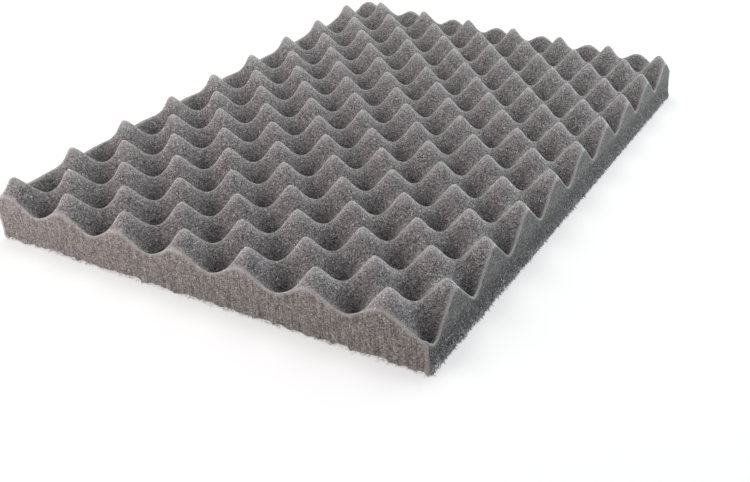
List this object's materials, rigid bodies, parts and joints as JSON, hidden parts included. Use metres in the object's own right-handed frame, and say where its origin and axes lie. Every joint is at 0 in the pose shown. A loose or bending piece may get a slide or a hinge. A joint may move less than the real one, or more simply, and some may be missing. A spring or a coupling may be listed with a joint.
{
  "type": "convoluted foam case insert",
  "caption": "Rectangular open-cell foam sheet with a flat back and staggered egg-crate peaks, cut to line the lid of a carrying case and cushion what it closes on.",
  "frame": {"origin": "centre of the flat back, in the plane that lies on the lid or table", "axes": "+X along the short edge, +Y along the long edge, +Z from the flat back towards the peaks"},
  "size_m": [0.2616, 0.366, 0.036],
  "materials": {
    "charcoal_foam": "matte open-cell polyurethane foam, charcoal grey, rough knife-cut sides"
  },
  "bodies": {
    "root": {"foam_sheet": "charcoal_foam"}
  },
  "joints": []
}
